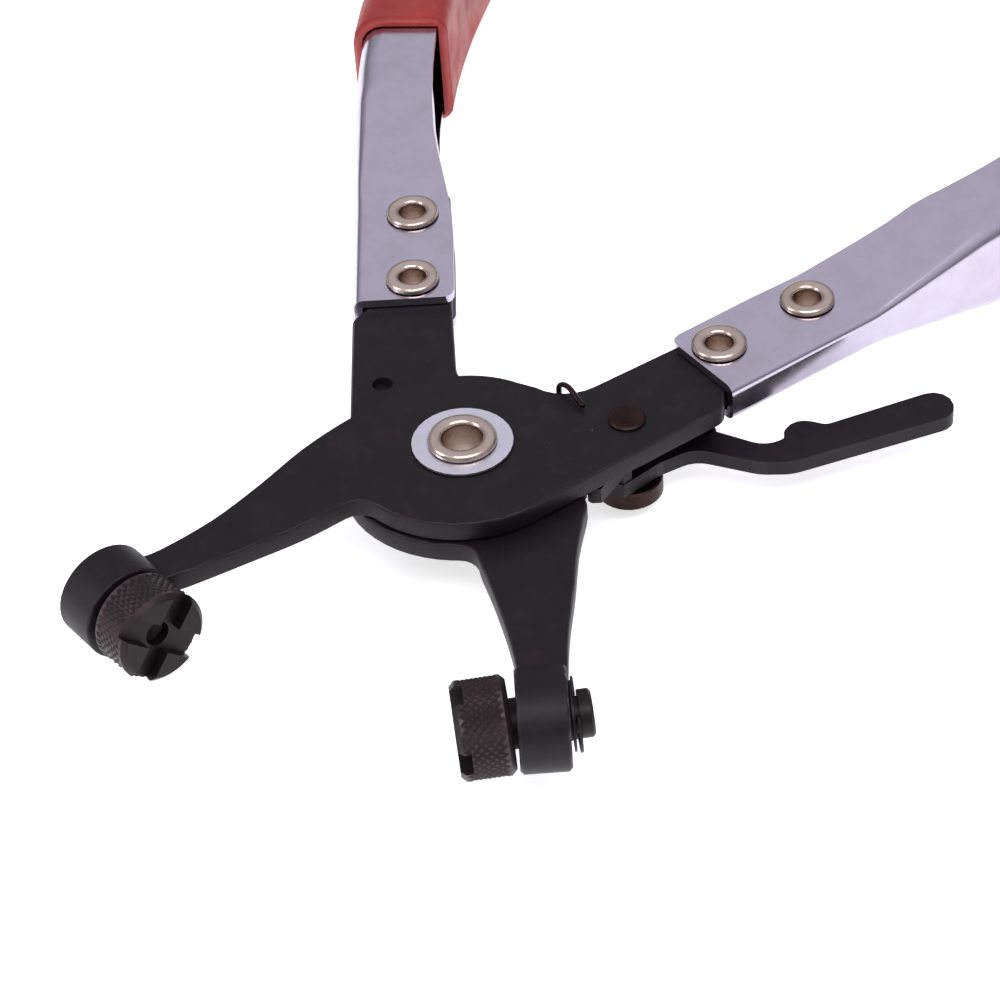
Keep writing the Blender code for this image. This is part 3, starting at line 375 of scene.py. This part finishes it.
FINISH["vinyl"] = finish(
    "dipped_vinyl", metallic=0.0, base=vinyl_colour, roughness=vinyl_roughness, bump=vinyl_bump,
    bump_depth=0.05 * MM)

# %% [markdown]
# ## Smoothing the pieces that keep their shape
# A construction mesh is made of loose flat triangles, so a round eye would show its facets. The
# mesh itself stays as it is. We copy it, join its doubled points, pair its triangles and shade it
# smooth up to an angle. A weighted normal then keeps the broad faces flat and lets only the narrow
# bevels look round. We also mark those narrow faces, so that a finish can rub them brighter.

# %% Helpers for picking and finishing a piece
NARROW = 0.75 * MM
NEARLY_LEVEL = 0.99
WELD = 0.002 * MM
PAIR_FLAT = math.radians(1)
PAIR_SKEW = math.radians(40)


def only(piece):
    """Select this piece and nothing else."""
    bpy.ops.object.select_all(action="DESELECT")
    piece.select_set(True)
    bpy.context.view_layer.objects.active = piece


def seasoned(piece):
    """Mark the narrow faces that don't lie level, which are the piece's bevels and teeth."""
    mesh = piece.data
    marks = mesh.attributes.new(EDGE_MARK, "FLOAT", "FACE")
    for face in mesh.polygons:
        corners = [mesh.vertices[i].co for i in face.vertices]
        longest = max((a - b).length for a, b in zip(corners, corners[1:] + corners[:1]))
        narrow = face.area / longest < NARROW
        marks.data[face.index].value = float(narrow and abs(face.normal.z) < NEARLY_LEVEL)


def stands_for(piece, node, material=None):
    """Give a finished piece its material and its body, and hide the node that it stands in for."""
    piece.data.materials.clear()
    piece.data.materials.append(material or FINISH[SLOT_OF[node]])
    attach(piece, BODY_OF[node])
    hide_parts(node)
    print(piece.name, "rides on", BODY_OF[node], "with", len(piece.data.polygons), "faces")


def smooth_copy(node, angle, finer=0):
    """Copy of a node with its points joined, shaded smooth below an angle in degrees."""
    only(NODES[node])
    bpy.ops.object.duplicate()
    piece = bpy.context.view_layer.objects.active
    piece.name = node + "_finished"
    bpy.ops.mesh.customdata_custom_splitnormals_clear()
    bpy.ops.object.mode_set(mode="EDIT")
    bpy.ops.mesh.select_all(action="SELECT")
    bpy.ops.mesh.remove_doubles(threshold=WELD)
    bpy.ops.mesh.tris_convert_to_quads(face_threshold=PAIR_FLAT, shape_threshold=PAIR_SKEW)
    bpy.ops.object.mode_set(mode="OBJECT")
    if finer:
        step = piece.modifiers.new("finer", "SUBSURF")
        step.levels = step.render_levels = finer
        bpy.ops.object.modifier_apply(modifier=step.name)
    seasoned(piece)
    bpy.ops.object.shade_smooth_by_angle(angle=math.radians(angle))
    if not finer:
        step = piece.modifiers.new("flat faces", "WEIGHTED_NORMAL")
        step.keep_sharp = True
        bpy.ops.object.modifier_apply(modifier=step.name)
    return piece

# %% Plates, handles, lever, rings and grips
PLATES = ("upper_arm", "lower_arm", "lock_lever")
SHEETS = ("right_handle", "left_handle")
RINGS = ("pivot_washer", "left_jaw_washer", "right_jaw_washer", "left_jaw_clip", "right_jaw_clip",
         "lever_rivet")
GRIPS = ("right_grip", "left_grip")
PLATE_ANGLE, SHEET_ANGLE, RING_ANGLE, GRIP_ANGLE = 50, 40, 35, 60

for nodes, angle in (
        (PLATES, PLATE_ANGLE), (SHEETS, SHEET_ANGLE), (RINGS, RING_ANGLE), (GRIPS, GRIP_ANGLE)):
    for node in nodes:
        stands_for(smooth_copy(node, angle), node)

# %% [markdown]
# ## The lever's spring
# Spring wire is round, and the frame's wire has only a few sides. Two rounds of subdivision smooth
# the copy, but they also draw it in, so it is fattened back to its real wire.

# %% Round wire
WIRE_ANGLE = 80
WIRE_ROUNDS = 2
DRAWN_IN = 0.05 * MM

wire = smooth_copy("lever_spring", WIRE_ANGLE, finer=WIRE_ROUNDS)
only(wire)
bpy.ops.object.mode_set(mode="EDIT")
bpy.ops.mesh.select_all(action="SELECT")
bpy.ops.transform.shrink_fatten(value=DRAWN_IN)
bpy.ops.object.mode_set(mode="OBJECT")
stands_for(wire, "lever_spring")

# %% [markdown]
# ## Turned pieces
# Heads, eyelets and the pivot come off a lathe or out of a rolling die, so we make them the same
# way: draw half a section as a chain of points, spin it round, and join the seam. Starting from one
# point of a plane and extruding it from place to place is how it would be drawn by hand.

# %% Lathe
def lathe(name, profile, steps):
    """Body turned about z from (radius, height) points."""
    bpy.ops.object.select_all(action="DESELECT")
    bpy.ops.mesh.primitive_plane_add(size=MM)
    piece = bpy.context.view_layer.objects.active
    piece.name = name
    bpy.ops.object.mode_set(mode="EDIT")
    bpy.ops.mesh.select_all(action="SELECT")
    bpy.ops.mesh.merge(type="CENTER")
    bpy.ops.transform.translate(value=(profile[0][0], 0, profile[0][1]))
    for (r0, z0), (r1, z1) in zip(profile, profile[1:]):
        bpy.ops.mesh.extrude_region_move(TRANSFORM_OT_translate={"value": (r1 - r0, 0, z1 - z0)})
    bpy.ops.mesh.select_all(action="SELECT")
    bpy.ops.mesh.spin(steps=steps, angle=2 * math.pi, center=(0, 0, 0), axis=(0, 0, 1))
    bpy.ops.mesh.select_all(action="SELECT")
    bpy.ops.mesh.remove_doubles(threshold=WELD)
    bpy.ops.mesh.normals_make_consistent(inside=False)
    bpy.ops.object.mode_set(mode="OBJECT")
    print("turned", name, "with", len(piece.data.vertices), "points")
    return piece


def set_in_place(piece, matrix):
    """Put a piece where it belongs and write that place into its mesh."""
    piece.matrix_world = matrix
    only(piece)
    bpy.ops.object.transform_apply(location=True, rotation=True, scale=True)

# %% [markdown]
# ## Eyelets and the hollow pivot
# An eyelet is a tube whose ends are rolled over into a round bead that clamps the sheet, and the
# pivot is a larger one. A ring laid on a tube would come close, but its inside would not run
# smoothly into the bore, so the whole section is turned at once: bore, bead, seat and shank.

# %% Eyelets and the pivot rivet
BEAD_STEPS = 12
BEAD_FULLNESS = 0.8
TURN_STEPS = 96
BEAD_ANGLE = 40


def rolled(name, bore, shank, flange, bead, low, high):
    """Hollow rivet between two seats: a round bead rolled over at both ends."""
    middle, half = (bore + flange) / 2, (flange - bore) / 2
    crown = []
    for i in range(BEAD_STEPS + 1):
        angle = math.pi * i / BEAD_STEPS
        crown.append((middle + half * math.cos(angle), bead * math.sin(angle) ** BEAD_FULLNESS))
    upper = [(shank, high)] + [(r, high + z) for r, z in crown]
    lower = [(r, low - z) for r, z in reversed(crown)] + [(shank, low)]
    piece = lathe(name, upper + lower + [(shank, high)], TURN_STEPS)
    only(piece)
    bpy.ops.object.shade_smooth_by_angle(angle=math.radians(BEAD_ANGLE))
    return piece


EYELET = {"bore": 2.2 * MM, "shank": 2.85 * MM, "flange": 4.47 * MM, "bead": 1.0 * MM}
PIVOT_RIVET = {"bore": 3.15 * MM, "shank": 3.9 * MM, "flange": 5.5 * MM, "bead": 1.1 * MM}
ROLLED_SIZES = {node: EYELET for node in NODES if "eyelet" in node}
ROLLED_SIZES["pivot_rivet"] = PIVOT_RIVET

for node in sorted(ROLLED_SIZES):
    sizes = ROLLED_SIZES[node]
    low, high = (Vector(corner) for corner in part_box(node))
    reach = (high.z - low.z) / 2 - sizes["bead"]
    piece = rolled(node + "_rolled", **sizes, low=-reach, high=reach)
    set_in_place(piece, Matrix.Translation((low + high) / 2))
    stands_for(piece, node)

# %% [markdown]
# ## Swivelling heads
# Each head is a turned steel button with a diamond knurl, a cross slot for the clamp's tang and a
# drilled centre, on a tail that turns in the jaw's eye. We turn the whole section, and take the
# direction of the slots from the construction model, so that the two agree.

# %% Section of a head
HEAD_R, HEAD_BACK, HEAD_FACE, HEAD_CHAMFER = 7.4 * MM, 4.7 * MM, 12.9 * MM, 0.8 * MM
HOLE_R, HOLE_DEPTH, DRILL_CONE = 2.0 * MM, 4.6 * MM, 1.0 * MM
SHANK_R, SHANK_END = 3.75 * MM, -3.8 * MM
TAIL_R, TAIL_END, TAIL_CHAMFER = 3.6 * MM, -7.25 * MM, 0.4 * MM
GROOVE_R, GROOVE_Z, GROOVE_HALF = 2.7 * MM, -4.9 * MM, 0.35 * MM
SLOT, SLOT_DEPTH = 3.9 * MM, 1.9 * MM
KNURL_ROWS, KNURL_COLUMNS, KNURL_DEPTH = 10, 72, 0.22 * MM
KNURL_BAND = HEAD_FACE - HEAD_BACK - 2 * HEAD_CHAMFER

rim = [(HEAD_R, HEAD_FACE - HEAD_CHAMFER - KNURL_BAND * i / KNURL_ROWS)
       for i in range(KNURL_ROWS + 1)]
HEAD_PROFILE = [
    (0, HEAD_FACE - HOLE_DEPTH), (HOLE_R, HEAD_FACE - HOLE_DEPTH + DRILL_CONE),
    (HOLE_R, HEAD_FACE), (HEAD_R - HEAD_CHAMFER, HEAD_FACE), *rim,
    (HEAD_R - HEAD_CHAMFER, HEAD_BACK), (SHANK_R, HEAD_BACK), (SHANK_R, SHANK_END),
    (TAIL_R, SHANK_END), (TAIL_R, GROOVE_Z + GROOVE_HALF), (GROOVE_R, GROOVE_Z + GROOVE_HALF),
    (GROOVE_R, GROOVE_Z - GROOVE_HALF), (TAIL_R, GROOVE_Z - GROOVE_HALF),
    (TAIL_R, TAIL_END + TAIL_CHAMFER), (TAIL_R - TAIL_CHAMFER, TAIL_END), (0, TAIL_END)]
print("a head's section has", len(HEAD_PROFILE), "points")

# %% Direction of the slots
SQUARE_TO = 0.01
NEAR_WALL = 0.02 * MM


def head_axes(node, joint):
    """Frame of a head: z along its swivel, x square to one wall of its slots."""
    axis = Vector(JOINTS[joint]["axis"]).normalized()
    origin = Vector(JOINTS[joint]["pos_m"])
    across = None
    mesh = NODES[node].data
    for face in mesh.polygons:
        off = abs(face.normal.dot(face.center - origin))
        if abs(face.normal.dot(axis)) < SQUARE_TO and abs(off - SLOT / 2) < NEAR_WALL:
            across = face.normal - axis * face.normal.dot(axis)
            break
    across.normalize()
    return Matrix((across, axis.cross(across), axis)).transposed(), origin

# %% [markdown]
# ## Pressing the knurl
# A knurling wheel presses two sets of slanted grooves, and the metal stands up between them in
# small pyramids. A bump would look flat at the head's outline, so the knurl is real: the rim has a
# row of points for each row of pyramids, and every other point is pressed inwards, like the dark
# squares of a chessboard.

# %% Knurl
def press_knurl(piece):
    """Press every other point of the rim inwards, and fold each face along its groove."""
    step = KNURL_BAND / KNURL_ROWS
    bottom = HEAD_BACK + HEAD_CHAMFER
    only(piece)
    bpy.ops.object.mode_set(mode="EDIT")
    bpy.ops.mesh.select_mode(type="VERT")
    bpy.ops.mesh.select_all(action="DESELECT")
    bpy.ops.object.mode_set(mode="OBJECT")
    for vertex in piece.data.vertices:
        x, y, z = vertex.co
        row = round((z - bottom) / step)
        column = round(math.atan2(y, x) / (2 * math.pi) * KNURL_COLUMNS)
        on_rim = math.hypot(x, y) > HEAD_R - WELD and 0 < row < KNURL_ROWS
        vertex.select = on_rim and (row + column) % 2 == 1
    print("knurl: pressed", sum(vertex.select for vertex in piece.data.vertices), "points")
    bpy.ops.object.mode_set(mode="EDIT")
    share = 1 - KNURL_DEPTH / HEAD_R
    bpy.ops.transform.resize(value=(share, share, 1), center_override=(0, 0, 0))
    bpy.ops.mesh.select_all(action="SELECT")
    bpy.ops.mesh.quads_convert_to_tris(quad_method="SHORTEST_DIAGONAL", ngon_method="BEAUTY")
    bpy.ops.object.mode_set(mode="OBJECT")

# %% [markdown]
# ## Milling the slots
# The cross slots hold the clamp's tangs. They could be built into the mesh face by face, but a
# milling cutter simply passes twice across the face, and so do we: two long bars are taken away.

# %% Cross slots
BAR_LENGTH = 4 * HEAD_R


def cut_slots(piece):
    """Mill the cross slots into the face: two long bars, taken away one after the other."""
    for size in ((BAR_LENGTH, SLOT), (SLOT, BAR_LENGTH)):
        bpy.ops.object.select_all(action="DESELECT")
        bpy.ops.mesh.primitive_cube_add(
            size=1, location=(0, 0, HEAD_FACE), scale=(*size, 2 * SLOT_DEPTH))
        bar = bpy.context.view_layer.objects.active
        only(piece)
        step = piece.modifiers.new("slot", "BOOLEAN")
        step.object = bar
        step.solver = "EXACT"
        bpy.ops.object.modifier_apply(modifier=step.name)
        bpy.data.objects.remove(bar, do_unlink=True)
    print("slots cut in", piece.name, "with", len(piece.data.polygons), "faces left")

# %% [markdown]
# ## Steel of the heads
# The lathe has left fine rings on the face. The face and its slots are coloured darker than the knurl,
# the knurl is a little rusty, and its tips are rubbed bright. These masks follow the distance from
# the swivel's axis, so the coordinates are first seen from the head's own frame, and each head has
# its own steel.

# %% Darker face and rubbed steel
DARKER_FACE = (0.0060, 0.0040, 0.0050, 1)
DARK_STEEL = (0.018, 0.012, 0.014, 1)
RUSTY_STEEL = (0.034, 0.018, 0.018, 1)
RUBBED_TIPS = (0.11, 0.09, 0.09, 1)
LATHE_RING = 0.28 * MM
TIP_SHARE = 0.35


def head_finish(name, axes, origin):
    """Dark steel with fine rings on the turned face and rubbed tips on the knurl."""
    def radius_and_height(tree):
        x, y, z = parts_of(in_frame(tree, axes, origin))
        return tree.math("SQRT", x * x + y * y), z

    def base(tree):
        place = placed(tree)
        radius = radius_and_height(tree)[0]
        tips = radius.between(HEAD_R - KNURL_DEPTH * TIP_SHARE, HEAD_R)
        rubbed = tips * noise(place, size=2.5 * MM, detail=3.0).between(0.4, 0.7)
        rust = noise(place, size=2.2 * MM, detail=4.0, rough=0.6).between(0.45, 0.75)
        steel = rust.mixed(DARK_STEEL, RUSTY_STEEL)
        # everything inside the knurl, the face, its slots and the drilled centre, is coloured darker
        face = 1 - radius.between(HEAD_R - HEAD_CHAMFER, HEAD_R - HEAD_CHAMFER / 2)
        tinted = (face * 0.65).mixed(steel, DARKER_FACE)
        return (rubbed * 0.6).mixed(tinted, RUBBED_TIPS)

    def roughness(tree):
        return 0.36 + noise(placed(tree), size=1.5 * MM, detail=3.0) * 0.2

    def bump(tree):
        radius, height = radius_and_height(tree)
        rings = tree.math("SINE", radius * (2 * math.pi / LATHE_RING))
        on_face = height.between(HEAD_FACE - 0.05 * MM, HEAD_FACE - 0.02 * MM)
        return rings * on_face * 0.5 + noise(placed(tree), size=0.4 * MM)

    return finish(name, metallic=0.55, base=base, roughness=roughness, bump=bump,
                  bump_depth=0.012 * MM, specular=0.4)

# %% Both heads
HEAD_ANGLE = 14

for hand in ("left", "right"):
    node = hand + "_jaw_head"
    axes, origin = head_axes(node, hand + "_head_turn")
    head = lathe(node + "_knurled", HEAD_PROFILE, KNURL_COLUMNS)
    press_knurl(head)
    cut_slots(head)
    set_in_place(head, Matrix.Translation(origin) @ axes.to_4x4())
    bpy.ops.object.shade_smooth_by_angle(angle=math.radians(HEAD_ANGLE))
    stands_for(head, node, head_finish(node + "_steel", axes, origin))

# %% [markdown]
# ## Floor
# The photograph is a cut-out on pure white. A plain white floor would turn grey towards its edges,
# so ours glows a little: it stays white, while it still catches a faint shadow that seats the tool.

# %% White floor
FLOOR_SIZE = 8.0
WHITE = (1, 1, 1, 1)
PAPER_WHITE = (0.92, 0.92, 0.93, 1)
PAPER_ROUGHNESS = 0.9
PAPER_GLOW = 0.62

bpy.context.scene.view_settings.view_transform = "Standard"
bpy.ops.object.select_all(action="DESELECT")
bpy.ops.mesh.primitive_plane_add(size=FLOOR_SIZE)
floor = bpy.context.view_layer.objects.active
floor.name = "floor"
paper = bpy.data.materials.new("paper")
paper.use_nodes = True
paper_shader = paper.node_tree.nodes["Principled BSDF"]
paper_shader.inputs["Base Color"].default_value = PAPER_WHITE
paper_shader.inputs["Roughness"].default_value = PAPER_ROUGHNESS
paper_shader.inputs["Emission Color"].default_value = WHITE
paper_shader.inputs["Emission Strength"].default_value = PAPER_GLOW
floor.data.materials.append(paper)
print("floor", FLOOR_SIZE, "m wide, glowing at", PAPER_GLOW)

# %% [markdown]
# ## Sky and softboxes
# Bright metal looks like what stands round it. The sky is bright above and darker low down, so the
# plated folds get a light line with a dark band beside it. One wide softbox hangs overhead, and a
# smaller one stands at the left to pick out the eyes. The camera sees the sky itself as pure white.

# %% Sky
SKY_LOW = (0.22, 0.21, 0.23, 1)
SKY_HIGH = (0.74, 0.73, 0.78, 1)

world = bpy.data.worlds.new("studio")
bpy.context.scene.world = world
world.use_nodes = True
sky = Wire(world.node_tree)
height = parts_of(sky.node("ShaderNodeTexCoord", output="Generated"))[2]
shade = height.between(0.12, 0.58).mixed(SKY_LOW, SKY_HIGH)
seen = sky.node("ShaderNodeLightPath", output="Is Camera Ray")
background = world.node_tree.nodes["Background"]
world.node_tree.links.new(seen.mixed(shade, WHITE).socket, background.inputs["Color"])
print("sky with", len(world.node_tree.nodes), "nodes")

# %% Softboxes
def softbox(name, place, width, depth, watts):
    """Rectangular lamp, in metres, that is turned to face the pivot."""
    lamp = bpy.data.lights.new(name, "AREA")
    lamp.shape = "RECTANGLE"
    lamp.size, lamp.size_y, lamp.energy = width, depth, watts
    holder = bpy.data.objects.new(name, lamp)
    bpy.context.scene.collection.objects.link(holder)
    holder.location = place
    holder.rotation_euler = (Vector(place) - PIVOT).to_track_quat("Z", "Y").to_euler()


softbox("overhead", place=(0.02, -0.34, 0.52), width=0.60, depth=0.18, watts=1.9)
softbox("left_side", place=(-0.55, -0.15, 0.30), width=0.20, depth=0.30, watts=0.9)
